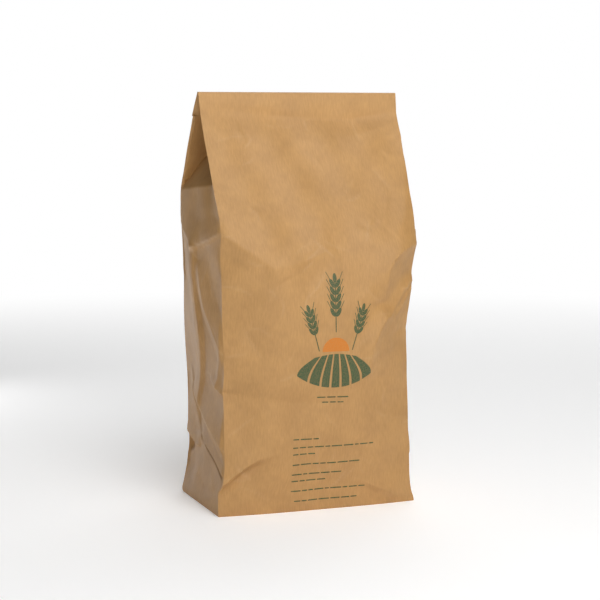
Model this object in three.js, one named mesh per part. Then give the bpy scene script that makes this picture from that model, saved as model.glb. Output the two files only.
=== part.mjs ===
// A filled block-bottom flour bag of brown kraft paper, standing upright.
//
// The bag is one paper tube with a flat base. Flour fills it to about two thirds of its height, so that the
// front and back bulge into a belly there. Above the flour the front and back panels lean together like a
// roof and meet at a straight ridge, where the closed mouth is folded over once and glued down on the back.
// The gusset on each side stands upright up to a level crease, and above it leans inwards between the front
// and back panels, which leaves a deep triangular recess at each end of the roof.
//
// Millimetres, +Z up, the front faces -Y. The origin is on the floor, below the middle of the bag.

import * as THREE from "three";
import { mergeGeometries, mergeVertices } from "three/addons/utils/BufferGeometryUtils.js";

// Driving sizes.
const gussetDepth = 95.4; // front to back at the base
const ridgeHeight = 318.2; // where the front and back panels meet
const foldHeight = 1; // the rounded fold that stands on the ridge
const creaseAtFront = 250; // height of the gusset's level crease at its front edge
const creaseAtBack = 243.5; // and at its back edge
const flapStandsOut = 2.6; // how far the flap's cut edge stands off the back panel
const flapAtRidge = 0.7; // and how far it does at the ridge, where it is pressed flat
const flangeThickness = 1.3; // front or back panel with the gusset folded flat behind it
const frontShoulderAtEdges = 7; // how softly the roof turns into the belly in front, at the upright edges
const frontShoulderInMiddle = 18; // and in the middle of the panel
const backShoulder = 6; // and at the back
const middleX = -0.3; // where the middle of the bulging bag lies, counted from the middle of its base
const middleY = -4.35;

// Steps of the surface.
const heelHeight = 2; // the small round of the bottom edge
const footHeight = 50; // up to here the steps are finer
const footSteps = 8;
const bodySteps = 16; // from there to the gusset's level crease
const roofSteps = 13; // from that crease to the ridge
const flapStep = 10; // the step of the roof at which the flap ends
const panelSteps = 24; // across the front and the back
const gussetSteps = 2 * roofSteps; // across a gusset, so that the recess's slanting creases follow the steps

const lerp = THREE.MathUtils.lerp;
const smoothstep = THREE.MathUtils.smoothstep;

// A smooth curve through points given as pairs of position and value.
function through(...pairs) {
  const positions = pairs.map((pair) => pair[0]);
  const values = pairs.map((pair) => pair[1]);
  const curve = new THREE.CubicInterpolant(positions, values, 1);
  return (at) => curve.evaluate(at)[0];
}

// The smaller of two values, with the corner between them rounded off over a width.
function softMin(a, b, width) {
  const near = Math.max(width - Math.abs(a - b), 0) / width;
  return Math.min(a, b) - (near * near * width) / 4;
}

// A crease in a panel, from one point to another of the panel's own two coordinates. It lifts the paper by
// rise along its line, or sinks it where rise is negative, falls off evenly over reach on each side, and
// fades out at both ends.
function crease(from, to, rise, reach) {
  const start = new THREE.Vector2(...from);
  const along = new THREE.Vector2(...to).sub(start);
  const length = along.length();
  along.normalize();
  return (across, up) => {
    const point = new THREE.Vector2(across, up).sub(start);
    const travelled = THREE.MathUtils.clamp(point.dot(along) / length, 0, 1);
    const distance = Math.abs(point.cross(along));
    return rise * Math.max(0, 1 - distance / reach) * Math.sqrt(Math.sin(Math.PI * travelled));
  };
}

const sumOf = (creases) => (across, up) => creases.reduce((sum, each) => sum + each(across, up), 0);

// Distance of the four upright edges from the bag's middle, by height: they draw in above the stiff foot.
const frontLeftEdge = through(
  [0, 80], [2, 80.4], [19, 80.4], [28, 78.4], [40, 76.8], [110, 76.3], [170, 77.6], [215, 78.9], [260, 80],
  [320, 80],
);
const backLeftEdge = through(
  [0, 80.2], [2, 80.8], [10, 78.9], [25, 75.6], [34, 74.2], [41, 73.8], [50, 75], [90, 75.4], [122, 76.9],
  [178, 78], [243, 80], [320, 80],
);
const frontRightEdge = through(
  [0, 81], [3, 80.2], [10, 77.6], [48, 75.2], [88, 73.9], [104, 73], [143, 72.4], [162, 74.3], [180, 76.4],
  [200, 78.4], [238, 79.2], [256, 80.6], [275, 81.4], [300, 81.8], [313, 82.6], [320, 83.2],
);
const backRightEdge = through(
  [0, 80.2], [2, 80.5], [35, 76.6], [100, 75.8], [170, 78], [243, 81.5], [320, 83.2],
);

// Distance of the roof's front and back from the middle plane, by height, carried on below the shoulder.
const frontRoof = through([140, 93], [200, 63.8], [222, 52.8], [240, 42], [285, 16], [300, 7.6], [318, 1.3]);
const backRoof = through(
  [180, 90], [243, 49.2], [259, 38.5], [274.5, 29.5], [290, 20], [300, 14.4], [318, 1.3],
);

// Distance of the upright edges from the middle plane, by height, and of the belly from those edges, by
// height and by how far across the panel it is.
const frontCorner = through([0, 47], [2, 47.7], [60, 48.4], [120, 49.6], [160, 49.4], [200, 48.4], [320, 48]);
const frontBelly = through(
  [0, 3], [2, 3.3], [22, 5.4], [45, 11], [92, 19], [130, 23.5], [160, 24], [190, 22.5], [320, 24],
);
const squareSpread = through(
  [0, 0], [0.12, 0.56], [0.26, 0.96], [0.5, 1], [0.74, 0.94], [0.88, 0.6], [1, 0],
);
const slopedSpread = through(
  [0, 0], [0.1, 0.33], [0.21, 0.66], [0.34, 0.8], [0.5, 0.92], [0.64, 1], [0.71, 0.98], [0.8, 0.74],
  [0.9, 0.39], [1, 0],
);
const slopedShare = (z) => smoothstep(z, 30, 90) * (1 - smoothstep(z, 150, 195));
const frontSpread = (across, z) => lerp(squareSpread(across), slopedSpread(across), slopedShare(z));
const backCorner = through([0, 47], [2, 47.7], [60, 48.4], [120, 49.4], [180, 49], [243, 48.4], [320, 48]);
const backBelly = through([0, 2], [2, 2.3], [25, 4], [70, 10], [130, 15], [190, 15], [230, 11], [320, 9]);
const backSpread = through([0, 0], [0.14, 0.62], [0.5, 1], [0.86, 0.66], [1, 0]);

// Creases of the front panel: across from the middle, and height.
const frontCreases = sumOf([
  crease([-82, 217], [-41, 190], 2.6, 24), // left end of the shoulder
  crease([-46, 190], [4, 202], 1.6, 20), // from there towards the middle
  crease([84, 219], [57, 190], 2.4, 22), // right end of the shoulder
  crease([57, 193], [79, 158], 2.2, 16), // and down along the right edge
  crease([-78, 93], [-28, 91], -1.6, 22), // level groove from the left edge
  crease([-84, 20], [-26, 46], -2.6, 14), // above the stiff foot on the left
  crease([84, -2], [54, 17], -2.4, 10), // and at the right corner
  crease([-76, 305], [40, 296], -1.2, 16), // under the pressed top band
  crease([30, 284], [80, 298], 1.2, 14),
  crease([84, 284], [78, 204], -3, 40), // the shoulder is softer at its right end
]);

const backCreases = sumOf([
  crease([-84, 246], [-30, 222], 2, 24),
  crease([84, 246], [36, 226], 2, 24),
  crease([-84, 24], [-34, 44], -2.4, 14),
  crease([84, 24], [30, 42], -2.4, 14),
  crease([-60, 120], [50, 132], -1.4, 26),
]);

// How far each gusset's middle crease is pushed out by the flour, by height.
const leftMiddle = through(
  [0, 0], [2, 0.2], [18, 1], [46, 1.5], [62, 0.8], [92, 1], [112, 2.2], [128, 3.6], [146, 5], [170, 7],
  [204, 7.6], [214, 4.4], [226, 1.4], [243, -0.2], [250, 0], [320, 0],
);
const rightMiddle = through(
  [0, 0], [2, 0.2], [24, 2.6], [60, 6], [100, 5.4], [140, 2.6], [180, 5.6], [210, 6.4], [235, 4], [250, 1],
  [270, 0], [320, 0],
);

// Creases of the gussets: distance back from the front edge, and height.
const leftCreases = sumOf([
  crease([0, 216], [50, 202], 1, 14), // from the front shoulder to the middle crease
  crease([50, 203], [97, 218], 1, 14), // and on to the back edge
  crease([36, 192], [12, 137], 2.2, 12), // ridge that runs down towards the front edge
  crease([12, 137], [-6, 117], 1.6, 10),
  crease([44, 196], [41, 132], 1.6, 16), // ridge beside the middle crease
  crease([70, 92], [-6, 47], 3, 12), // long slanting ridge
  crease([56, 54], [-6, 26], -1.6, 8), // long slanting groove above the foot
  crease([97, 51], [58, 44], 1.6, 8), // buckle at the back edge
]);

const rightCreases = sumOf([
  crease([0, 214], [46, 200], 1.6, 16),
  crease([46, 200], [97, 222], 1.4, 16),
  crease([46, 150], [99, 116], 2.2, 13),
  crease([50, 96], [-3, 34], -2.8, 14),
  crease([50, 70], [99, 30], -2.2, 13),
]);

// Creases die out towards the straight edges at the floor and at the ridge.
function settled(z) {
  return smoothstep(z, 0, 14) * (1 - smoothstep(z, 296, 314));
}

function frontDepth(x, z) {
  const across = (x + frontLeftEdge(z)) / (frontRightEdge(z) + frontLeftEdge(z));
  const spread = frontSpread(across, z);
  const upright = frontCorner(z) + frontBelly(z) * spread;
  const shoulder = lerp(frontShoulderAtEdges, frontShoulderInMiddle, spread);
  return softMin(upright, frontRoof(z), shoulder) + frontCreases(x, z) * settled(z);
}

function backDepth(x, z) {
  const across = (x + backLeftEdge(z)) / (backRightEdge(z) + backLeftEdge(z));
  const upright = backCorner(z) + backBelly(z) * backSpread(across);
  return softMin(upright, backRoof(z), backShoulder) + backCreases(x, z) * settled(z);
}

const spaced = (from, to, steps) => Array.from({ length: steps }, (_, i) => lerp(from, to, (i + 1) / steps));

// The levels of the surface. upright is the share of the way from the floor to the gussets' level crease,
// roof the share of the way on from there to the ridge, and flap how thick the flap is. At the flap's cut
// edge there are two levels at one height, without the flap and with it.
function bagLevels() {
  const lower = [0, heelHeight, ...spaced(heelHeight, footHeight, footSteps)];
  const upper = spaced(footHeight, creaseAtFront, bodySteps);
  const levels = [...lower, ...upper].map((z) => ({ upright: z / creaseAtFront, roof: 0, flap: 0 }));
  for (let step = 1; step <= roofSteps; step += 1) {
    const roof = step / roofSteps;
    const thickness = lerp(flapStandsOut, flapAtRidge, (step - flapStep) / (roofSteps - flapStep));
    if (step <= flapStep) levels.push({ upright: 1, roof, flap: 0 });
    if (step >= flapStep) levels.push({ upright: 1, roof, flap: thickness });
  }
  return levels;
}

const levels = bagLevels();
const ridge = levels.length - 1;

// Height of a level, which is a little lower at the back of the bag (1) than at its front (0).
function heightOf(level, backwards) {
  const levelCrease = lerp(creaseAtFront, creaseAtBack, backwards);
  return lerp(levelCrease * levels[level].upright, ridgeHeight, levels[level].roof);
}

function frontPoint(u, level) {
  const z = heightOf(level, 0);
  const x = lerp(-frontLeftEdge(z), frontRightEdge(z), u);
  return new THREE.Vector3(x, -frontDepth(x, z), z);
}

function backPoint(u, level) {
  const z = heightOf(level, 1);
  const x = lerp(-backLeftEdge(z), backRightEdge(z), u);
  return new THREE.Vector3(x, backDepth(x, z) + levels[level].flap, z);
}

// A gusset, u from its front edge to its back one. side is -1 on the left and 1 on the right.
function gussetPoint(side, u, level) {
  const { roof, flap } = levels[level];
  const z = heightOf(level, u);
  const frontX = side < 0 ? -frontLeftEdge(z) : frontRightEdge(z);
  const backX = side < 0 ? -backLeftEdge(z) : backRightEdge(z);
  const half = gussetDepth / 2;
  const fromEdge = Math.min(u, 1 - u) * gussetDepth;

  // In the roof the gusset lies flat behind the front and back panels as far as its slanting creases, and
  // stands free between the two of them.
  const tuck = Math.min(fromEdge, roof * half);
  const front = -frontDepth(frontX - side * tuck, z);
  const back = backDepth(backX - side * tuck, z) + flap;
  const thickest = Math.min(0.35 * (back - front), tuck);
  const free = u === 0.5 ? 1 : (fromEdge - tuck) / Math.max(half * (1 - roof), 1e-6);
  const across = u > 0.5 ? 1 - free / 2 : free / 2;
  const frontFace = front + Math.min(flangeThickness, thickest);
  const backFace = back - Math.min(flangeThickness + flap, thickest);

  const pushedOut = (side < 0 ? leftMiddle : rightMiddle)(z) * (fromEdge / half);
  const creased = (side < 0 ? leftCreases : rightCreases)(u * gussetDepth, z);
  const relief = creased * settled(z) * smoothstep(fromEdge, 0, 5) * (1 - roof);
  const x = lerp(frontX, backX, u) + side * (pushedOut + relief - tuck);
  return new THREE.Vector3(x, lerp(frontFace, backFace, across), z);
}

// A grid of points as a surface, which faces the side from which u runs to the right and rows run upwards.
// Each cell is split along the diagonal that rises towards the grid's middle, as the recess's creases do.
function grid(pointAt, steps, rows) {
  const positions = [];
  const index = [];
  for (let row = 0; row <= rows; row += 1) {
    for (let step = 0; step <= steps; step += 1) positions.push(...pointAt(step / steps, row).toArray());
  }
  for (let row = 0; row < rows; row += 1) {
    for (let step = 0; step < steps; step += 1) {
      const a = row * (steps + 1) + step;
      const b = a + 1;
      const d = b + steps;
      const c = d + 1;
      if (step < steps / 2) index.push(a, b, c, a, c, d);
      else index.push(a, b, d, b, c, d);
    }
  }
  const surface = new THREE.BufferGeometry();
  surface.setAttribute("position", new THREE.Float32BufferAttribute(positions, 3));
  surface.setIndex(index);
  return surface;
}

// A surface between two lines of points.
function between(lower, upper, steps, rows = 1) {
  return grid((u, row) => lower(u).lerp(upper(u), row / rows), steps, rows);
}

// Turns a surface to face the other way.
function turned(surface) {
  const index = surface.index.array;
  for (let i = 0; i < index.length; i += 3) [index[i + 1], index[i + 2]] = [index[i + 2], index[i + 1]];
  return surface;
}

// The narrow slit between the two sides of a recess is closed by the fold above it.
function slitCover(side) {
  const nearRidge = (u) => gussetPoint(side, u / 2, ridge);
  const farRidge = (u) => gussetPoint(side, 1 - u / 2, ridge);
  return between(nearRidge, farRidge, gussetSteps / 2);
}

// The fold along the ridge: a low wall at the front and the back, a top, and two ends.
function ridgeFold() {
  const front = (u) => frontPoint(u, ridge);
  const back = (u) => backPoint(u, ridge);
  const raised = (point) => point.setZ(ridgeHeight + foldHeight);
  const endWall = (u) => {
    const foot = (v) => front(u).lerp(back(u), v);
    return between(foot, (v) => raised(foot(v)), 1);
  };
  return [
    between(front, (u) => raised(front(u)), panelSteps),
    between((u) => raised(front(u)), (u) => raised(back(u)), panelSteps),
    turned(between(back, (u) => raised(back(u)), panelSteps)),
    turned(endWall(0)),
    endWall(1),
  ];
}

// Joins surfaces into one closed one, without the triangles that have no width.
function closed(surfaces) {
  const joined = mergeVertices(mergeGeometries(surfaces), 1e-3);
  const index = joined.index.array;
  const kept = [];
  for (let i = 0; i < index.length; i += 3) {
    const corners = [index[i], index[i + 1], index[i + 2]];
    if (new Set(corners).size === 3) kept.push(...corners);
  }
  joined.setIndex(kept);
  joined.computeVertexNormals();
  return joined;
}

function paperBag() {
  const base = between((u) => frontPoint(u, 0), (u) => backPoint(u, 0), panelSteps, gussetSteps);
  const surface = closed([
    grid(frontPoint, panelSteps, ridge),
    turned(grid(backPoint, panelSteps, ridge)),
    turned(grid((u, level) => gussetPoint(-1, u, level), gussetSteps, ridge)),
    grid((u, level) => gussetPoint(1, u, level), gussetSteps, ridge),
    turned(base),
    turned(slitCover(-1)),
    slitCover(1),
    ...ridgeFold(),
  ]);
  const kraftPaper = new THREE.MeshStandardMaterial({ color: 0xb88f5e, roughness: 0.85, metalness: 0 });
  const bag = new THREE.Mesh(surface, kraftPaper);
  bag.name = "flour_bag";
  bag.position.set(-middleX, -middleY, 0);
  return bag;
}

const part = new THREE.Group();
part.add(paperBag());

export default part;
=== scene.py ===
import math

import bmesh
import bpy
import numpy as np
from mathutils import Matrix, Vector
from mathutils.bvhtree import BVHTree


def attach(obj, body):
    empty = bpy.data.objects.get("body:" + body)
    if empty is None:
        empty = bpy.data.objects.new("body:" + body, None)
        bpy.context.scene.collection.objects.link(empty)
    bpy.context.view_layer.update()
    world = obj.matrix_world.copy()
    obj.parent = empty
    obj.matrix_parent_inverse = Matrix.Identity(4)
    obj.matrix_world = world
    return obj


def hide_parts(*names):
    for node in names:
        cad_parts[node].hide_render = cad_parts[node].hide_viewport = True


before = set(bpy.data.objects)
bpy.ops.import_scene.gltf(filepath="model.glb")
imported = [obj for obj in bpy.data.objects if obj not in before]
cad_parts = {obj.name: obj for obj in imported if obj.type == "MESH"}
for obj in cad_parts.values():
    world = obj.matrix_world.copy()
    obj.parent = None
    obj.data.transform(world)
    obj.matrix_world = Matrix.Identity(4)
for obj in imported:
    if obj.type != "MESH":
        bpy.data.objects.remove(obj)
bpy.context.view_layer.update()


# The filled paper tube
# One tube of brown kraft paper, pasted flat at the bottom and filled with flour, which pushes its four
# panels out into a belly. Above the flour the front and back lean together to a straight ridge, the side
# gussets tuck in between them, and the mouth is folded over the ridge and glued down on the back.

base_width, base_depth = 161, 97
gusset_depth = 95.4
ridge_height, fold_height = 318.2, 1.0
crease_at_front, crease_at_back = 250.0, 243.5
flap_share = 10 / 13
flap_stands_out, flap_at_ridge = 2.6, 0.7
flange_thickness = 1.3
rim_width, bottom_sunk = 2.5, 0.7
panel_steps, gusset_steps, roof_steps, fold_steps = 116, 104, 52, 8

# The bag is drawn in millimetres around the middle of its base, and the frame's origin lies here.
middle_x, middle_y = -0.3, -4.35


def through(*pairs):
    """A smooth curve through pairs of position and value."""
    at, value = np.array(pairs, float).T
    secant = np.diff(value) / np.diff(at)
    slope = np.concatenate([secant[:1], (secant[1:] + secant[:-1]) / 2, secant[-1:]])

    def curve(x):
        x = np.clip(x, at[0], at[-1])
        i = np.clip(np.searchsorted(at, x, side="right") - 1, 0, len(at) - 2)
        run = at[i + 1] - at[i]
        p = (x - at[i]) / run
        start = (1 + 2 * p) * (1 - p) ** 2 * value[i] + p * (1 - p) ** 2 * run * slope[i]
        end = p * p * (3 - 2 * p) * value[i + 1] + p * p * (p - 1) * run * slope[i + 1]
        return start + end

    return curve


def smooth(x, low, high):
    """0 up to low, 1 from high on, and an easy rise between them."""
    p = np.clip((x - low) / (high - low), 0, 1)
    return p * p * (3 - 2 * p)


def rounded_min(a, b, width):
    """The lower of two surfaces, with the corner where they cross rounded over width."""
    near = np.maximum(width - np.abs(a - b), 0) / width
    return np.minimum(a, b) - near * near * width / 4


# How far out from the middle each upright edge runs, over the height.
front_left_edge = through(
    (0, 80), (2, 80.4), (19, 80.4), (28, 78.4), (40, 76.8), (110, 76.3), (170, 77.6), (215, 78.9), (260, 80),
    (320, 80),
)
back_left_edge = through(
    (0, 80.2), (2, 80.8), (10, 78.9), (17, 77.2), (25, 75.6), (34, 74.2), (41, 73.8), (46, 74), (50, 75),
    (58, 75.2), (90, 75.4), (122, 76.9), (178, 78), (243, 80), (320, 80),
)
front_right_edge = through(
    (0, 81), (3, 80.2), (10, 77.6), (48, 75.2), (88, 73.9), (104, 73), (143, 72.4), (162, 74.3), (180, 76.4),
    (200, 78.4), (238, 79.2), (256, 80.6), (275, 81.4), (300, 81.8), (313, 82.6), (320, 83.2),
)
back_right_edge = through((0, 80.2), (2, 80.5), (35, 76.6), (100, 75.8), (170, 78), (243, 81.5), (320, 83.2))

# How far the front and back stand out from the middle, over the height: along the roof, at the corners, and
# the belly that is added between them, which a spread shares out from the left edge to the right one.
front_roof = through((140, 93), (200, 63.8), (222, 52.8), (240, 42), (285, 16), (300, 7.6), (318, 1.3))
back_roof = through((180, 90), (243, 49.2), (259, 38.5), (274.5, 29.5), (290, 20), (300, 14.4), (318, 1.3))
front_corner = through((0, 47), (2, 47.7), (60, 48.4), (120, 49.6), (160, 49.4), (200, 48.4), (320, 48))
front_belly = through(
    (0, 3), (2, 3.3), (22, 5.4), (45, 11), (92, 19), (130, 23.5), (160, 24), (190, 22.5), (320, 24),
)
square_spread = through((0, 0), (0.12, 0.56), (0.26, 0.96), (0.5, 1), (0.74, 0.94), (0.88, 0.6), (1, 0))
sloped_spread = through(
    (0, 0), (0.1, 0.33), (0.21, 0.66), (0.34, 0.8), (0.5, 0.92), (0.64, 1), (0.71, 0.98), (0.8, 0.74),
    (0.9, 0.39), (1, 0),
)
back_corner = through((0, 47), (2, 47.7), (60, 48.4), (120, 49.4), (180, 49), (243, 48.4), (320, 48))
back_belly = through((0, 2), (2, 2.3), (25, 4), (70, 10), (130, 15), (190, 15), (230, 11), (320, 9))
back_spread = through((0, 0), (0.14, 0.62), (0.5, 1), (0.86, 0.66), (1, 0))

# How far the flour pushes the middle of each gusset out, over the height.
left_middle = through(
    (0, 0), (2, 0.2), (18, 1), (46, 1.5), (62, 0.8), (92, 1), (112, 2.2), (128, 3.6), (146, 5), (170, 7),
    (204, 7.6), (212, 5.4), (222, 2.8), (232, 1), (243, -0.2), (250, 0), (320, 0),
)
right_middle = through(
    (0, 0), (2, 0.2), (24, 2.6), (60, 6), (100, 5.4), (140, 2.6), (180, 5.6), (210, 6.4), (235, 4), (250, 1),
    (270, 0), (320, 0),
)

crease_sharpness, mark_width = 1.25, 0.9


def crease(line, rise, reach, far_reach=None, mark=0.0):
    """A fold line in a panel: it lifts the paper by rise, less and less out to reach on its left side and
    to far_reach on its right side, and fades out at both ends. mark is how pale its broken fibres are."""
    line = np.array(line, float)
    far_reach = far_reach or reach
    runs = np.diff(line, axis=0)
    lengths = np.hypot(*runs.T)
    passed = np.concatenate([[0], np.cumsum(lengths)])

    def lift(across, up):
        nearest = np.full(np.shape(across), np.inf)
        travelled = np.zeros(np.shape(across))
        left = np.zeros(np.shape(across), bool)
        for start, run, length, before in zip(line, runs / lengths[:, None], lengths, passed):
            dx, dz = across - start[0], up - start[1]
            t = np.clip(dx * run[0] + dz * run[1], 0, length)
            distance = np.hypot(dx - t * run[0], dz - t * run[1])
            closer = distance < nearest
            nearest = np.where(closer, distance, nearest)
            travelled = np.where(closer, before + t, travelled)
            left = np.where(closer, run[0] * dz - run[1] * dx > 0, left)
        share = np.maximum(0, 1 - nearest / np.where(left, reach, far_reach))
        ends = np.sqrt(np.sin(np.pi * np.clip(travelled / passed[-1], 0, 1)))
        pale = mark * np.exp(-((nearest / mark_width) ** 2))
        return rise * share**crease_sharpness * ends, pale * ends

    return lift


def dent(middle, rise, width, height):
    """A soft hollow or swelling of the paper over the flour."""

    def lift(across, up):
        push = np.exp(-(((across - middle[0]) / width) ** 2) - ((up - middle[1]) / height) ** 2)
        return rise * push, 0 * push

    return lift


fine_half_length, fine_rise, fine_bend = (4, 15), (0.12, 0.5), (-2.5, 2.5)
fine_reach, fine_mark = (3, 7), (0, 0.35)
wave_turns, whole_wave = (0.04, 0.17), 6.28
wave_count, waves_together = 7, 2.6


def handling(seed, count, low, high, wave):
    """What filling and carrying leave in a panel: short faint creases and slow waves."""
    draw = np.random.default_rng(seed)
    found = []
    for _ in range(count):
        x, z = draw.uniform(low[0], high[0]), draw.uniform(low[1], high[1])
        angle, half = draw.uniform(0, math.pi), draw.uniform(*fine_half_length)
        dx, dz = half * math.cos(angle), half * math.sin(angle)
        rise = draw.uniform(*fine_rise) * draw.choice([-1, 1])
        bend = draw.uniform(*fine_bend)
        middle = (x - bend * math.sin(angle), z + bend * math.cos(angle))
        line = [(x - dx, z - dz), middle, (x + dx, z + dz)]
        reach, far_reach = draw.uniform(*fine_reach), draw.uniform(*fine_reach)
        found.append(crease(line, rise, reach, far_reach, mark=draw.uniform(*fine_mark)))
    swells = []
    for _ in range(wave_count):
        turns = draw.uniform(*wave_turns, 2) * draw.choice([-1, 1], 2)
        swells.append((turns, draw.uniform(0, whole_wave)))

    def waves(across, up):
        height = sum(np.sin(k[0] * across + k[1] * up + phase) for k, phase in swells)
        rise = height * wave / waves_together
        return rise, 0 * rise

    return found + [waves]


def summed(lifts):
    """All the creases, dents and waves of a panel together."""

    def total(across, up):
        rise, mark = np.zeros(np.shape(across)), np.zeros(np.shape(across))
        for lift in lifts:
            more_rise, more_mark = lift(across, up)
            rise, mark = rise + more_rise, np.maximum(mark, more_mark)
        return rise, mark

    return total


# Folds of the front, given across from the middle and up from the floor.
right_fold = [(69, 168), (63, 159), (56, 152.5), (47, 148.7), (40, 140.6), (34, 129)]
front_creases = summed(
    [
        crease([(-92, 224), (-76, 212), (-60, 201), (-43, 189), (-38, 178)], 5.2, 34, 13),
        crease([(-48, 188), (-30, 190), (-12, 195), (8, 204)], 2.2, 22, 14),
        crease([(100, 212), (76, 203), (62, 199.5), (53, 193), (48, 183), (46, 160)], 6.5, 21, 36),
        crease([(82, 205), (74, 202.5), (62, 199.5), (53, 193), (48, 184), (48, 172)], 2.4, 7, 12),
        crease([(78, 178), *right_fold, (33, 104)], 5.2, 28, 12),
        crease([(80, 180), *right_fold, (32, 116)], 1.8, 8, 11),
        crease([(76, 174), (68, 166), (62, 158), (53, 149)], -3, 3, 2.6),
        crease([(76, 176), (69, 170), (63, 170)], 1.2, 3, 5, mark=0.3),
        crease([(80, 139), (64, 137.5), (52, 134)], -1.2, 5, 4),
        crease([(-88, 97), (-68, 94), (-50, 90), (-26, 87), (10, 87)], -3.6, 12, 30),
        crease([(-90, 95), (-76, 94.5), (-64, 93)], -1.2, 3.5, 2.5),
        crease([(-104, 4), (-82, 21), (-72, 31), (-63, 38), (-52, 44), (-36, 48)], 4.2, 30, 5),
        crease([(-92, 10), (-80, 20), (-69, 29), (-58, 36.5), (-48, 41)], -2.6, 3, 6),
        crease([(26, 24), (42, 17), (56, 10), (68, 4), (88, -8)], 2.4, 22, 4.5),
        crease([(-66, 32), (-62, 2)], 0.9, 12, 9),
        crease(
            [(-86, 308), (-74, 309), (-29, 301.5), (8, 299), (41, 297.5), (82, 305), (92, 307)],
            -3.4, 13, 18,
        ),
        crease([(28, 283), (60, 290), (84, 300)], 1.6, 7, 15),
        crease([(-66, 316), (-40, 306), (-20, 303)], -0.8, 5, 6),
        crease([(0, 311), (28, 306), (64, 312)], -0.9, 6, 5),
        crease([(82, 270), (76, 245), (70, 224), (58, 210)], 1.8, 8, 14),
        crease([(47, 222), (38, 217), (29, 219)], -1.5, 5, 4),
        crease([(84, 284), (78, 204)], -3, 40),
        dent((-66, 280), 0.9, 14, 26),
        dent((18, 64), 1.0, 40, 16),
    ]
    + handling(3, 76, (-76, 14), (76, 300), 0.75)
)
back_creases = summed(
    [
        crease([(-84, 246), (-30, 222)], 2, 24),
        crease([(84, 246), (36, 226)], 2, 24),
        crease([(-92, 20), (-60, 38), (-24, 46)], 2.6, 34, 6),
        crease([(92, 20), (58, 36), (20, 45)], 2.6, 6, 34),
        crease([(-60, 120), (0, 130), (54, 124)], -1.4, 14, 26),
        crease([(-90, 190), (-62, 172), (-44, 150), (-36, 122)], 2.6, 22, 7, mark=0.2),
        crease([(90, 202), (62, 186), (46, 160), (42, 134)], 2.6, 7, 22, mark=0.2),
        crease([(-60, 212), (-16, 200), (30, 207)], 1.4, 14, 6),
    ]
    + handling(8, 60, (-76, 14), (76, 300), 0.8)
)
# Folds of a gusset, given back from its front edge and up from the floor.
left_creases = summed(
    [
        crease([(-14, 221), (1.8, 214), (16.5, 208), (42, 201.8), (54, 200)], 1.6, 22, 2.5, mark=0.5),
        crease([(38, 199), (47, 202.4), (67, 208), (80, 213), (104, 222)], 1.6, 22, 2.5, mark=0.5),
        dent((13, 250), -3, 13, 13),
        dent((74, 232), 1, 18, 14),
        crease(
            [(-6, 117), (3, 126), (12, 137), (18, 146), (27, 158), (32, 172), (36, 192)],
            3.2, 18, 12, mark=0.5,
        ),
        crease(
            [(41, 204), (44, 180), (43, 160), (41, 145), (40, 132),
             (42, 117), (46, 100), (52, 84), (52, 70)],
            2.8, 36, 5, mark=0.15,
        ),
        crease([(94, 214), (91, 190), (91, 158)], -1.5, 4, 4),
        crease(
            [(82, 106), (74, 98), (67, 87), (63.5, 76), (61, 66), (58, 56), (54, 46)],
            1.5, 16, 3, mark=0.7,
        ),
        crease(
            [(70, 92), (58, 83), (44, 72), (28, 64.5), (18, 60.5), (8, 55), (-6, 47)],
            4.4, 10, 24, mark=0.7,
        ),
        crease([(60, 57), (50, 52), (38, 46), (27, 42), (15, 37.3), (1.8, 31), (-8, 26)], 1.6, 2, 14),
        crease([(58, 55), (49, 50.5), (37, 45), (27, 41), (15, 36.3), (1.8, 30), (-7, 26)], -2.6, 2, 2),
        crease([(97, 52), (88, 48.5), (78, 45.5), (70, 43), (58, 44)], 2.4, 1.8, 12, mark=0.2),
        dent((89, 40), -3.4, 6, 5),
        dent((81, 26), -2, 13, 13),
        crease([(28, 102), (10, 95.5), (-8, 91.5)], 2.4, 2.2, 8, mark=0.3),
        crease([(4, 126), (9, 110), (14, 94)], 1.4, 7, 7),
        crease([(60, 24), (40, 15), (22, 15), (4, 19)], -1.4, 14, 10),
    ]
    + handling(5, 34, (6, 12), (90, 240), 0.35)
)
right_creases = summed(
    [
        crease([(0, 214), (46, 200)], 2.8, 24, 12),
        crease([(44, 199), (97, 222)], 2.4, 22, 14),
        crease([(46, 150), (70, 138), (99, 116)], 2.6, 12, 6),
        crease([(50, 96), (28, 62), (-3, 34)], 3, 3.5, 20),
        crease([(50, 70), (74, 48), (99, 30)], 3, 18, 4),
        crease([(48, 196), (50, 160), (44, 128)], -2.4, 5, 5),
        crease([(12, 238), (3, 214)], -3, 12),
    ]
    + handling(6, 34, (6, 12), (90, 240), 0.4)
)

foot_height, band_bottom, band_top = 14, 296, 314
uneven_from, uneven_to = (30, 90), (150, 195)
shoulder_at_edge, shoulder_in_middle, shoulder_behind = 7, 18, 6


def settled(z):
    """How freely the paper creases: not at the pasted foot, nor just under the fold on the ridge."""
    return smooth(z, 0, foot_height) * (1 - smooth(z, band_bottom, band_top))


def front_depth(x, z):
    """How far the front stands out, and its marks. Half-way up, the belly leans over to the right."""
    across = (x + front_left_edge(z)) / (front_right_edge(z) + front_left_edge(z))
    sloped = smooth(z, *uneven_from) * (1 - smooth(z, *uneven_to))
    spread = square_spread(across) * (1 - sloped) + sloped_spread(across) * sloped
    upright = front_corner(z) + front_belly(z) * spread
    rounding = shoulder_at_edge + (shoulder_in_middle - shoulder_at_edge) * spread
    rise, mark = front_creases(x, z)
    return rounded_min(upright, front_roof(z), rounding) + rise * settled(z), mark


def back_depth(x, z):
    """How far the back stands out, and its marks."""
    across = (x + back_left_edge(z)) / (back_right_edge(z) + back_left_edge(z))
    upright = back_corner(z) + back_belly(z) * back_spread(across)
    rise, mark = back_creases(x, z)
    return rounded_min(upright, back_roof(z), shoulder_behind) + rise * settled(z), mark


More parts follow.
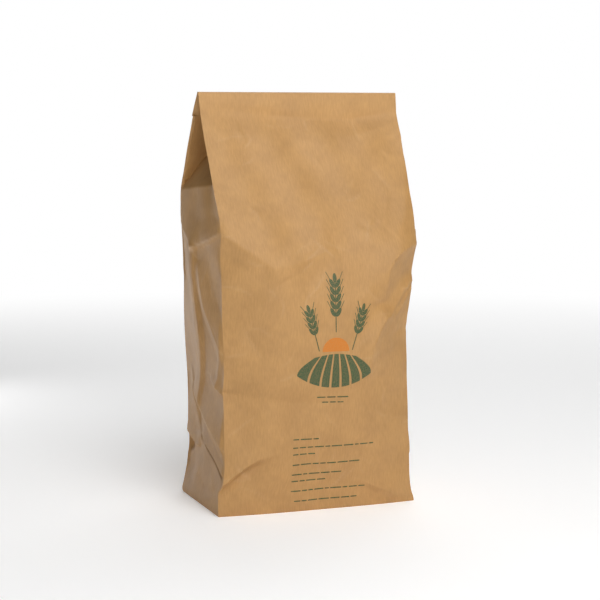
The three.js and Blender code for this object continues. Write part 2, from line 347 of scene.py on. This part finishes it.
# The rows of points from the floor to the ridge. Each row has its share of the way up to the shoulder's
# crease, its share of the way up the roof, and how far the flap holds the back off there. At the flap's
# lower edge there are two rows, one on the panel and one on the flap.
foot_heights = [0, 0.5, 1.2, 2]
lowest_step, upright_steps = 3.4, 152
heights = np.concatenate([foot_heights, np.linspace(lowest_step, crease_at_front, upright_steps)])
flap_step = round(flap_share * roof_steps)
levels = [(z / crease_at_front, 0, 0) for z in heights]
for step in range(1, roof_steps + 1):
    climbed, whole_climb = step - flap_step, roof_steps - flap_step
    held_off = flap_stands_out + (flap_at_ridge - flap_stands_out) * climbed / whole_climb
    if step <= flap_step:
        levels.append((1, step / roof_steps, 0))
    if step >= flap_step:
        levels.append((1, step / roof_steps, held_off))
upright, roof, flap = np.array(levels).T[:, :, None]


def height_at(backwards):
    """The rows' heights at a share of the way from the front to the back."""
    level_crease = crease_at_front + (crease_at_back - crease_at_front) * backwards
    return level_crease * upright + (ridge_height - level_crease * upright) * roof


def panel(left_edge, right_edge, backwards):
    """Where the points of the front or back panel lie across and up."""
    u = np.linspace(0, 1, panel_steps + 1)[None, :]
    z = height_at(backwards) + 0 * u
    return -left_edge(z) * (1 - u) + right_edge(z) * u, z


climb, climb_from, climb_to = 14, 150, 200
flange_share = 0.35
stiff_edge = 3.5
fold_mark, fold_mark_width = 0.25, 0.7


def gusset(side):
    """side is -1 on the left and 1 on the right; the points run from the front edge to the back one."""
    u = np.linspace(0, 1, gusset_steps + 1)[None, :]
    z = height_at(u)
    left = side < 0
    front_x = -front_left_edge(z) if left else front_right_edge(z)
    back_x = -back_left_edge(z) if left else back_right_edge(z)
    half = gusset_depth / 2
    from_edge = np.minimum(u, 1 - u) * gusset_depth + 0 * z
    # In the roof the paper next to each edge lies folded behind its panel, and the rest spans the recess.
    tuck = np.minimum(from_edge, roof * half)
    front = -front_depth(front_x - side * tuck, z)[0]
    back = back_depth(back_x - side * tuck, z)[0] + flap
    thickest = np.minimum(flange_share * (back - front), tuck)
    # free runs from 0 at the tuck to 1 at the gusset's middle crease, also on the ridge.
    free = (from_edge - tuck) / np.maximum(half * (1 - roof), 1e-6)
    free = np.where(u == 0.5, 1, free)
    across = np.where(u > 0.5, 1 - free / 2, free / 2)
    front_face = front + np.minimum(flange_thickness, thickest)
    back_face = back - np.minimum(flange_thickness + flap, thickest)
    # The shoulder's crease climbs from the middle of the gusset to both of its edges.
    climbed = climb * (1 - from_edge / half) * smooth(z, climb_from, climb_to)
    pushed_out = (left_middle if left else right_middle)(z - climbed) * (from_edge / half)
    rise, mark = (left_creases if left else right_creases)(u * gusset_depth + 0 * z, z)
    relief = rise * settled(z) * smooth(from_edge, 0, stiff_edge) * (1 - roof)
    x = front_x * (1 - u) + back_x * u + side * (pushed_out + relief - tuck)
    middle_mark = fold_mark * np.exp(-(((from_edge - half) / fold_mark_width) ** 2))
    points = np.stack([x, front_face * (1 - across) + back_face * across, z], -1)
    return points, np.maximum(mark, middle_mark)


# The sheets that make up the bag: their points, where these lie on the flat paper, how rubbed they are, and
# the triangles between them.
paper = {"points": [], "uv": [], "mark": [], "triangles": []}


def lay(points, uv, mark, turned=False):
    """Adds a sheet of points in rows, split as the recess's slanting creases ask."""
    rows, columns = points.shape[:2]
    first = sum(len(p) for p in paper["points"])
    a = (np.arange(rows - 1)[:, None] * columns + np.arange(columns - 1)[None, :]) + first
    rising = np.broadcast_to(np.arange(columns - 1)[None, :] < (columns - 1) / 2, a.shape)
    b, d, c = a + 1, a + columns, a + columns + 1
    one = np.where(rising[..., None], np.stack([a, b, c], -1), np.stack([a, b, d], -1)).reshape(-1, 3)
    two = np.where(rising[..., None], np.stack([a, c, d], -1), np.stack([b, c, d], -1)).reshape(-1, 3)
    both = np.concatenate([one, two])
    paper["triangles"].append(both[:, ::-1] if turned else both)
    paper["points"].append(points.reshape(-1, 3))
    paper["uv"].append(np.broadcast_to(uv, points.shape[:2] + (2,)).reshape(-1, 2))
    paper["mark"].append(np.broadcast_to(mark, points.shape[:2]).reshape(-1))


def paper_uv(points, start, width):
    """Place on the flat paper in millimetres: across the tube from its left front edge, and up it."""
    columns = points.shape[1]
    steps = np.linalg.norm(np.diff(points[:, columns // 2], axis=0), axis=1)
    up = np.concatenate([[0], np.cumsum(steps)])
    across = start + width * np.linspace(0, 1, columns)
    return np.stack(np.broadcast_arrays(across[None, :], up[:, None]), -1)


front_x, front_z = panel(front_left_edge, front_right_edge, 0)
front_out, front_mark = front_depth(front_x, front_z)
front = np.stack([front_x, -front_out, front_z], -1)
back_x, back_z = panel(back_left_edge, back_right_edge, 1)
back_out, back_mark = back_depth(back_x, back_z)
back = np.stack([back_x, back_out + flap, back_z], -1)
left, left_mark = gusset(-1)
right, right_mark = gusset(1)

# The flat paper carries the front, the right gusset, the back and the left gusset side by side.
flat_panel, back_ends_at, left_ends_at = 163, 422, 518
lay(front, paper_uv(front, 0, flat_panel), front_mark)
lay(right, paper_uv(right, flat_panel, gusset_depth), right_mark)
lay(back, paper_uv(back, back_ends_at, -flat_panel), back_mark, turned=True)
lay(left, paper_uv(left, left_ends_at, -gusset_depth), left_mark, turned=True)


def bridge(low, high, rows, lift=0.0):
    """A strip between two lines of points, raised to a round fold on its way."""
    t = np.linspace(0, 1, rows + 1)[:, None, None]
    strip = low[None] * (1 - t) + high[None] * t
    strip[..., 2] += lift * np.sin(np.pi * t[..., 0]) ** 0.5
    return strip


# The fold of the mouth over the ridge, the slits between the folded gussets, and the fold's two ends.
mouth_at, mouth_width = 330, 3
ridge_rubbed, ends_rubbed = 0.6, 0.8
ridge_strip = bridge(front[-1], back[-1], fold_steps, fold_height)
along_ridge = np.linspace(0, flat_panel, panel_steps + 1)[None, :]
over_ridge = mouth_at + np.linspace(0, mouth_width, fold_steps + 1)[:, None]
lay(ridge_strip, np.stack(np.broadcast_arrays(along_ridge, over_ridge), -1), ridge_rubbed)
half_gusset = gusset_steps // 2 + 1
for side, points in ((-1, left), (1, right)):
    slit = bridge(points[-1, :half_gusset], points[-1, ::-1][:half_gusset], 1)
    lay(slit, (0, mouth_at), 0, turned=side < 0)
for side, column in ((-1, 0), (1, -1)):
    end = ridge_strip[:, column]
    lay(np.stack([end[:1].repeat(len(end), 0), end]), (0, mouth_at), ends_rubbed, turned=side < 0)


base_on_paper = [600, 100]
sharp_fold = math.radians(38)


def bag_mesh(name):
    """Joins the sheets along their edges into one closed mesh, whose base stands on a narrow rim."""
    points, uv, mark, triangles = (np.concatenate(sheets) for sheets in paper.values())
    _, first, merged = np.unique(np.round(points, 3), axis=0, return_index=True, return_inverse=True)
    corners = merged.reshape(-1)[triangles]
    whole = np.all(corners != np.roll(corners, 1, axis=1), axis=1)
    corners, triangles = corners[whole], triangles[whole]
    places = (points[first] - [middle_x, middle_y, 0]) / 1000
    rim = np.concatenate([front[0], right[0, 1:], back[0, ::-1][1:], left[0, ::-1][1:-1]])
    lookup = {tuple(np.round(p, 3)): i for i, p in enumerate(points[first])}
    base = [lookup[tuple(np.round(p, 3))] for p in rim][::-1]
    inner = [len(places) + i for i in range(len(base))]
    narrowed = [1 - 2 * rim_width / base_width, 1 - 2 * rim_width / base_depth, 1]
    places = np.concatenate([places, places[base] * narrowed + [0, 0, bottom_sunk / 1000]])
    ring = [(base[i - 1], base[i], inner[i], inner[i - 1]) for i in range(len(base))]
    mesh = bpy.data.meshes.new(name)
    mesh.from_pydata(places.tolist(), [], [*corners.tolist(), *ring, inner])
    tube_corners = 3 * len(triangles)
    under = np.array([loop.vertex_index for loop in mesh.loops[tube_corners:]])
    flat = np.concatenate([uv[triangles.reshape(-1)], places[under, :2] * 1000 + base_on_paper])
    mesh.uv_layers.new(name="paper").data.foreach_set("uv", (flat / 1000).reshape(-1))
    worn = mesh.attributes.new("worn", "FLOAT", "POINT")
    worn.data.foreach_set("value", np.concatenate([mark[first], np.zeros(len(base))]).astype(np.float32))
    mesh.polygons.foreach_set("use_smooth", np.ones(len(mesh.polygons), bool))
    mesh.set_sharp_from_angle(angle=sharp_fold)
    mesh.validate()
    return mesh


def add(name, mesh):
    """Puts a mesh in the scene as a piece of its own."""
    piece = bpy.data.objects.new(name, mesh)
    bpy.context.scene.collection.objects.link(piece)
    return piece


def feed(tree, socket, value):
    """Links an output to a socket, or sets a plain value on it."""
    if hasattr(value, "is_linked"):
        tree.links.new(value, socket)
    else:
        socket.default_value = value


def noise(tree, scale, detail, stretch=(1, 1, 1), roughness=0.55):
    """Cloudy noise over the flat paper, drawn out along the tube where stretch is below 1."""
    place = tree.nodes.new("ShaderNodeUVMap")
    place.uv_map = "paper"
    mapping = tree.nodes.new("ShaderNodeMapping")
    feed(tree, mapping.inputs["Vector"], place.outputs["UV"])
    feed(tree, mapping.inputs["Scale"], stretch)
    texture = tree.nodes.new("ShaderNodeTexNoise")
    feed(tree, texture.inputs["Vector"], mapping.outputs["Vector"])
    feed(tree, texture.inputs["Scale"], scale)
    feed(tree, texture.inputs["Detail"], detail)
    feed(tree, texture.inputs["Roughness"], roughness)
    return texture.outputs["Fac"]


def ramp(tree, source, low, high, dark, light):
    """A colour that goes from dark to light as the source goes from low to high."""
    band = tree.nodes.new("ShaderNodeValToRGB")
    first, last = band.color_ramp.elements
    first.position, last.position = low, high
    first.color, last.color = dark, light
    feed(tree, band.inputs["Fac"], source)
    return band.outputs["Color"]


def blend(tree, kind, amount, below, above):
    """Two colours laid over each other."""
    mix = tree.nodes.new("ShaderNodeMix")
    mix.data_type = "RGBA"
    mix.blend_type = kind
    for socket, value in (("Factor_Float", amount), ("A_Color", below), ("B_Color", above)):
        feed(tree, next(i for i in mix.inputs if i.identifier == socket), value)
    return next(o for o in mix.outputs if o.identifier == "Result_Color")


def arithmetic(tree, operation, first, second):
    """Two numbers added or multiplied, point by point."""
    node = tree.nodes.new("ShaderNodeMath")
    node.operation = operation
    feed(tree, node.inputs[0], first)
    feed(tree, node.inputs[1], second)
    return node.outputs[0]


def scaled(tree, source, low, high, from_low=0.0, from_high=1.0):
    """Turns the source's run from from_low to from_high into one from low to high."""
    reach = tree.nodes.new("ShaderNodeMapRange")
    feed(tree, reach.inputs["Value"], source)
    feed(tree, reach.inputs["From Min"], from_low)
    feed(tree, reach.inputs["From Max"], from_high)
    feed(tree, reach.inputs["To Min"], low)
    feed(tree, reach.inputs["To Max"], high)
    return reach.outputs["Result"]


black, white = (0, 0, 0, 1), (1, 1, 1, 1)
dark_kraft, light_kraft = (0.452, 0.246, 0.084, 1), (0.52, 0.287, 0.1, 1)
dark_fibre, light_fibre = (0.93, 0.915, 0.9, 1), (1.045, 1.045, 1.05, 1)
fleck_brown, rubbed_kraft = (0.36, 0.2, 0.085, 1), (0.66, 0.45, 0.26, 1)


def kraft_paper(name):
    """Brown kraft: long pulp fibres laid along the tube, cloudy mottling, and paler, rubbed creases."""
    material = bpy.data.materials.new(name)
    material.use_nodes = True
    tree = material.node_tree
    shader = tree.nodes["Principled BSDF"]
    cloud = ramp(tree, noise(tree, 45, 3), 0.3, 0.7, dark_kraft, light_kraft)
    fibres = ramp(tree, noise(tree, 900, 4, (1, 0.16, 1)), 0.35, 0.65, dark_fibre, light_fibre)
    flecks = ramp(tree, noise(tree, 1500, 2, (1, 0.4, 1)), 0.68, 0.76, black, white)
    color = blend(tree, "MULTIPLY", 1.0, cloud, fibres)
    color = blend(tree, "MIX", arithmetic(tree, "MULTIPLY", flecks, 0.35), color, fleck_brown)
    worn = tree.nodes.new("ShaderNodeAttribute")
    worn.attribute_name = "worn"
    rubbed = arithmetic(tree, "MULTIPLY", worn.outputs["Fac"], noise(tree, 700, 3))
    feed(tree, shader.inputs["Base Color"], blend(tree, "MIX", rubbed, color, rubbed_kraft))
    feed(tree, shader.inputs["Roughness"], scaled(tree, noise(tree, 300, 3), 0.54, 0.66))
    shader.inputs["Specular IOR Level"].default_value = 0.5
    bump = tree.nodes.new("ShaderNodeBump")
    bump.inputs["Strength"].default_value = 0.35
    bump.inputs["Distance"].default_value = 0.00025
    grain = arithmetic(tree, "ADD", noise(tree, 1100, 3, (1, 0.3, 1)), noise(tree, 160, 4))
    feed(tree, bump.inputs["Height"], grain)
    feed(tree, shader.inputs["Normal"], bump.outputs["Normal"])
    return material


kraft = kraft_paper("kraft_paper")
bag = add("paper_bag", bag_mesh("paper_bag"))
bag.data.materials.append(kraft)
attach(bag, "root")
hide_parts("flour_bag")


# The print
# Dark green and orange ink, printed on the flat paper before the tube is made, so that it follows every
# fold of the front: three ears of grain and a half sun over a ploughed field, and rows of short bars.

bag_surface = BVHTree.FromPolygons(
    [v.co for v in bag.data.vertices], [p.vertices for p in bag.data.polygons]
)
cell, weld = 1.6, 0.02
sides_clear, base_clear = 200, 50
print_starts = 80
leaf_edge = math.radians(50)


def cut_leaf(outline):
    """A flat outline cut into small cells, so that it can follow the paper."""
    leaf = bmesh.new()
    leaf.faces.new([leaf.verts.new((p[0], p[1], 0)) for p in outline])
    low, high = np.min(outline, axis=0), np.max(outline, axis=0)
    for axis, normal in enumerate((Vector((1, 0, 0)), Vector((0, 1, 0)))):
        for step in range(math.ceil(low[axis] / cell), math.floor(high[axis] / cell) + 1):
            parts = [*leaf.verts, *leaf.edges, *leaf.faces]
            cut = normal * step * cell
            bmesh.ops.bisect_plane(leaf, geom=parts, plane_co=cut, plane_no=normal, dist=1e-5)
    bmesh.ops.remove_doubles(leaf, verts=leaf.verts, dist=weld)
    bmesh.ops.triangulate(leaf, faces=leaf.faces)
    return leaf


def on_bag(a, b, look):
    """The point of the bag's surface under a flat point, and the way in from outside."""
    if look == "front":
        origin, ray = Vector((a - middle_x, -sides_clear, b)), Vector((0, 1, 0))
    elif look == "back":
        origin, ray = Vector((-a - middle_x, sides_clear, b)), Vector((0, -1, 0))
    else:
        origin, ray = Vector((a, -b, -base_clear)), Vector((0, 0, 1))
    return bag_surface.ray_cast(origin / 1000, ray)[0], ray


def patch(name, outlines, look, proud, thickness=0.35):
    """Lays flat outlines, in millimetres as seen from outside, on the bag as thin closed leaves. look is
    the side that they lie on; proud gives how far they stand out from the paper at a place across."""
    shape = bmesh.new()
    paper_layer = shape.loops.layers.uv.new("paper")

    def face(corners, flats):
        made = shape.faces.new(corners)
        made.smooth = True
        for loop, flat in zip(made.loops, flats):
            loop[paper_layer].uv = ((flat.co.x + print_starts) / 1000, flat.co.y / 1000)

    for outline in outlines:
        leaf = cut_leaf(outline)
        tops, bottoms = {}, {}
        for v in leaf.verts:
            surface, ray = on_bag(v.co.x, v.co.y, look)
            tops[v] = shape.verts.new(surface - ray * proud(v.co.x) / 1000)
            bottoms[v] = shape.verts.new(surface - ray * (proud(v.co.x) - thickness) / 1000)
        for f in leaf.faces:
            corners = list(f.verts)
            face([tops[v] for v in corners], corners)
            face([bottoms[v] for v in corners[::-1]], corners[::-1])
        for edge in leaf.edges:
            if len(edge.link_faces) == 1:
                a, b = (loop.vert for loop in (edge.link_loops[0], edge.link_loops[0].link_loop_next))
                face([tops[b], tops[a], bottoms[a], bottoms[b]], [b, a, a, b])
        leaf.free()
    bmesh.ops.recalc_face_normals(shape, faces=shape.faces)
    mesh = bpy.data.meshes.new(name)
    shape.to_mesh(mesh)
    shape.free()
    mesh.set_sharp_from_angle(angle=leaf_edge)
    piece = add(name, mesh)
    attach(piece, "root")
    return piece


def level(height):
    """Standing out from the paper by the same height all over."""
    return lambda across: height


def ellipse(middle, length, width, turn, points=18):
    """An oval with its long axis turned from upright."""
    around = [2 * math.pi * i / points for i in range(points)]
    return [
        (
            middle[0] + width * math.cos(a) * math.cos(turn) - length * math.sin(a) * math.sin(turn),
            middle[1] + width * math.cos(a) * math.sin(turn) + length * math.sin(a) * math.cos(turn),
        )
        for a in around
    ]


def stroke(start, end, width):
    """A straight bar."""
    dx, dz = end[0] - start[0], end[1] - start[1]
    length = math.hypot(dx, dz)
    nx, nz = -dz / length * width / 2, dx / length * width / 2
    return [
        (start[0] - nx, start[1] - nz),
        (end[0] - nx, end[1] - nz),
        (end[0] + nx, end[1] + nz),
        (start[0] + nx, start[1] + nz),
    ]


# Lengths in an ear of grain, as shares of a grain's half length, and the widths of its fine lines.
grain_width, grain_spacing, grain_start = 0.42, 1.5, 0.6
grain_out, grain_up, top_grain_up = 0.62, 0.5, 0.7
grain_lean = math.radians(27)
stalk_width, awn_width = 0.7, 0.45


def wheat_ear(foot, tip, pairs, grain, awn):
    """A stalk with paired grains over its upper part, each with a fine awn, and one grain on its tip."""
    run = np.subtract(tip, foot)
    turn = math.atan2(-run[0], run[1])
    up = run / np.hypot(*run)
    side = np.array([up[1], -up[0]])
    parts = [stroke(foot, tip, stalk_width)]
    spacing = grain * grain_spacing
    for i in range(pairs):
        at = np.array(tip) - up * spacing * (i + grain_start)
        for s in (-1, 1):
            lean = turn - s * grain_lean
            middle = at + side * s * grain * grain_out + up * grain * grain_up
            parts.append(ellipse(middle, grain, grain * grain_width, lean))
            outwards = np.array([-math.sin(lean), math.cos(lean)])
            point = middle + outwards * grain
            parts.append(stroke(point, point + outwards * awn, awn_width))
    parts.append(ellipse(np.array(tip) + up * grain * top_grain_up, grain, grain * grain_width, turn))
    return parts


emblem_x = 5
field_top, field_bow = 121, 2.5
field_half_width, field_swell = 17, 13
field_drop, field_rounding = 26, 13
field_rows, furrow_steps = 8, 4


def furrow(left_share, right_share):
    """One band of a ploughed field that widens from the horizon towards its round lower edge."""

    def place(share, down):
        half_width = field_half_width + field_swell * math.sin(math.pi / 2 * down)
        top = field_top + field_bow * math.cos(math.pi / 2 * share)
        return emblem_x + half_width * share, top - down * (field_drop - field_rounding * share * share)

    rows = [i / field_rows for i in range(field_rows + 1)]
    width = right_share - left_share
    across = [left_share + width * i / furrow_steps for i in range(furrow_steps + 1)]
    return (
        [place(s, 0) for s in across]
        + [place(right_share, t) for t in rows[1:]]
        + [place(s, 1) for s in across[::-1][1:]]
        + [place(left_share, t) for t in rows[::-1][1:-1]]
    )


bands, band_gap = [-1, -0.68, -0.36, -0.1, 0.16, 0.42, 0.7, 1], 0.03
field = [furrow(a + band_gap, b - band_gap) for a, b in zip(bands, bands[1:])]
ears = wheat_ear(foot=(emblem_x, 140), tip=(emblem_x, 178), pairs=5, grain=3.6, awn=6)
for side in (-1, 1):
    foot, tip = (emblem_x + side * 13, 126), (emblem_x + side * 21, 156)
    ears += wheat_ear(foot, tip, pairs=4, grain=3.1, awn=5)
sun_radius, sun_height = 10.5, 125.4
sun = [
    (emblem_x + sun_radius * math.cos(a), sun_height + sun_radius * math.sin(a))
    for a in np.linspace(0, math.pi, 25)
]

# Rows of bars, each with its height over the floor and its left and right end.
bar_rows = (
    (58, -25, -2), (51.5, -25, 43), (46.2, -25, -7), (38, -25, 33), (30.2, -25, 18),
    (25, -25, 3), (17.2, -25, 36), (9, -22, 30), (90, -7, 17), (86, -3, 13),
)
bar_width, bar_gap, shortest_bar, bar_lengths = 0.85, 1.3, 2.5, (3, 9)
draw = np.random.default_rng(12)
bars = []
for row_z, row_left, row_right in bar_rows:
    x = row_left
    while x < row_right - shortest_bar:
        end = min(x + draw.uniform(*bar_lengths), row_right)
        bars.append(stroke((x, row_z), (end, row_z), bar_width))
        x = end + bar_gap


def ink(name, color):
    """Printing ink: the fibres' high spots take it, and bare paper shows through in specks."""
    material = kraft_paper(name)
    tree = material.node_tree
    base_color = tree.nodes["Principled BSDF"].inputs["Base Color"]
    bare_paper = base_color.links[0].from_socket
    cover = scaled(tree, noise(tree, 1300, 3, roughness=0.5), 1.0, 0.72, 0.4, 0.6)
    feed(tree, base_color, blend(tree, "MIX", cover, bare_paper, color))
    return material


dark_green, warm_orange = (0.018, 0.075, 0.028, 1), (0.62, 0.19, 0.012, 1)
ink_height = 0.14
print_green = patch("print_green", field + ears + bars, "front", level(ink_height))
print_green.data.materials.append(ink("green_ink", dark_green))
print_orange = patch("print_orange", [sun], "front", level(ink_height))
print_orange.data.materials.append(ink("orange_ink", warm_orange))


# The back seam
# The long edges of the paper overlap down the back and are glued there to make the tube. The upper one
# stands up along its free edge, on the left as seen from behind, and runs into the panel on the right.

seam_left, seam_width = 8, 16
seam_bottom, seam_top = 1, 296
seam_rise, seam_least, seam_thickness = 0.85, 0.05, 1.0
seam_right = seam_left + seam_width


def seam_edge(across):
    """How far the overlap stands out: most at its free edge and hardly at all at the other."""
    return seam_rise * (seam_right - across) / seam_width + seam_least


seam = [(seam_left, seam_bottom), (seam_right, seam_bottom), (seam_right, seam_top), (seam_left, seam_top)]
back_seam = patch("back_seam", [seam], "back", seam_edge, seam_thickness)
back_seam.data.materials.append(kraft)


# The folded bottom
# The lower end of the tube, folded in flat and pasted: the two flaps of the sides first, and a long one
# over them.

side_flaps = [[(s * 77, -44), (s * 77, 44), (s * 34, 4), (s * 34, -4)] for s in (-1, 1)]
long_flap = [(-77, -45), (77, -45), (40, 9), (-40, 9)]
side_flap_height, long_flap_height = 0.22, 0.5
bottom_sides = patch("bottom_side_flaps", side_flaps, "under", level(side_flap_height))
bottom_sides.data.materials.append(kraft)
bottom_long = patch("bottom_long_flap", [long_flap], "under", level(long_flap_height))
bottom_long.data.materials.append(kraft)


# The studio
# A white floor under a white dome. A tall soft lamp stands in front, weaker ones hang higher in front and
# overhead, a broad one behind on the right, and a small weak one near the floor behind on the left. The
# lens is long and looks from the left of the front.

floor_half, floor_paint, floor_glow = 12, (0.93, 0.93, 0.93, 1), 0.24
fade_from, fade_to = 0.6, 1.6


def studio_paint(name, color, specular, glow):
    """A surface that gives off some white light of its own."""
    material = bpy.data.materials.new(name)
    material.use_nodes = True
    shader = material.node_tree.nodes["Principled BSDF"]
    shader.inputs["Base Color"].default_value = color
    shader.inputs["Specular IOR Level"].default_value = specular
    shader.inputs["Emission Color"].default_value = white
    shader.inputs["Emission Strength"].default_value = glow
    return material


floor_mesh = bpy.data.meshes.new("studio_floor")
floor_corners = [(x * floor_half, y * floor_half, 0) for x, y in ((-1, -1), (1, -1), (1, 1), (-1, 1))]
floor_mesh.from_pydata(floor_corners, [], [(0, 1, 2, 3)])
floor = add("studio_floor", floor_mesh)
floor_white = studio_paint("studio_white", floor_paint, 0.1, floor_glow)
floor_mesh.materials.append(floor_white)

# Away from the bag the floor turns into the dome's plain white.
tree = floor_white.node_tree
shader = tree.nodes["Principled BSDF"]
shader.inputs["Roughness"].default_value = 0.9
place = tree.nodes.new("ShaderNodeTexCoord")
distance = tree.nodes.new("ShaderNodeVectorMath")
distance.operation = "LENGTH"
feed(tree, distance.inputs[0], place.outputs["Object"])
far_off = scaled(tree, distance.outputs["Value"], 0, 1, fade_from, fade_to)
far_off.node.interpolation_type = "SMOOTHSTEP"
glow = tree.nodes.new("ShaderNodeEmission")
fade = tree.nodes.new("ShaderNodeMixShader")
for socket, source in zip(fade.inputs, (far_off, shader.outputs["BSDF"], glow.outputs["Emission"])):
    feed(tree, socket, source)
feed(tree, tree.nodes["Material Output"].inputs["Surface"], fade.outputs["Shader"])

round_steps, rise_steps, dome_radius = 48, 12, 11


def dome_point(i, j):
    turn, rise = 2 * math.pi * i / round_steps, math.pi / 2 * j / rise_steps
    return (
        dome_radius * math.cos(turn) * math.cos(rise),
        dome_radius * math.sin(turn) * math.cos(rise),
        dome_radius * math.sin(rise),
    )


def dome_index(i, j):
    return j * round_steps + i % round_steps


dome_points = [dome_point(i, j) for j in range(rise_steps) for i in range(round_steps)]
dome_points.append((0, 0, dome_radius))
dome_faces = [
    (dome_index(i, j), dome_index(i, j + 1), dome_index(i + 1, j + 1), dome_index(i + 1, j))
    for j in range(rise_steps - 1)
    for i in range(round_steps)
] + [
    (dome_index(i, rise_steps - 1), len(dome_points) - 1, dome_index(i + 1, rise_steps - 1))
    for i in range(round_steps)
]
dome_mesh = bpy.data.meshes.new("studio_dome")
dome_mesh.from_pydata(dome_points, [], dome_faces)
dome_mesh.materials.append(studio_paint("studio_dome_white", black, 0, 1.0))
dome = add("studio_dome", dome_mesh)
dome.visible_diffuse = False
dome.visible_glossy = False
dome.visible_transmission = False
dome.visible_shadow = False

world = bpy.data.worlds.new("studio_air")
world.use_nodes = True
world.node_tree.nodes["Background"].inputs["Color"].default_value = white
world.node_tree.nodes["Background"].inputs["Strength"].default_value = 0.01
bpy.context.scene.world = world
bpy.context.scene.view_settings.view_transform = "Standard"

bag_middle = Vector((0, 0, 0.16))


def soft_light(name, azimuth, elevation, distance, size, power):
    """A flat lamp that looks at the bag's middle from an azimuth counted from the front to the right."""
    lamp = bpy.data.lights.new(name, "AREA")
    lamp.shape = "RECTANGLE"
    lamp.size, lamp.size_y = size
    lamp.energy = power
    holder = bpy.data.objects.new(name, lamp)
    azimuth, elevation = math.radians(azimuth), math.radians(elevation)
    flat = distance * math.cos(elevation)
    away = Vector((flat * math.sin(azimuth), -flat * math.cos(azimuth), distance * math.sin(elevation)))
    holder.location = away + bag_middle
    holder.rotation_euler = away.to_track_quat("Z", "Y").to_euler()
    bpy.context.scene.collection.objects.link(holder)


soft_light("key_light", -3, 33, 1.5, (0.8, 1.4), 14)
soft_light("fill_light", 10, 55, 1.5, (0.8, 0.8), 6)
soft_light("overhead_light", 40, 78, 1.5, (0.8, 0.8), 2)
soft_light("back_light", 150, 40, 1.5, (1.2, 1.2), 8)
soft_light("window_light", -151, -8, 0.7, (0.24, 0.1), 0.5)

# The lens and the eye follow the photograph's perspective: first three values in its pixels, then the eye's
# place in metres from the middle of the bag's base, and its turn to the right in degrees.
picture_width, focal_length, horizon_over_middle = 600, 1668, 184
eye_x, eye_y, eye_z, eye_turn = -0.4514, -1.224, 0.3009, 20.36
eye = bpy.data.cameras.new("camera")
eye.sensor_width = 36
eye.lens = eye.sensor_width * focal_length / picture_width
camera = bpy.data.objects.new("camera", eye)
camera.location = (eye_x - middle_x / 1000, eye_y - middle_y / 1000, eye_z)
look_down = math.atan(horizon_over_middle / focal_length)
camera.rotation_euler = (math.radians(90) - look_down, 0, -math.radians(eye_turn))
bpy.context.scene.collection.objects.link(camera)
bpy.context.scene.camera = camera
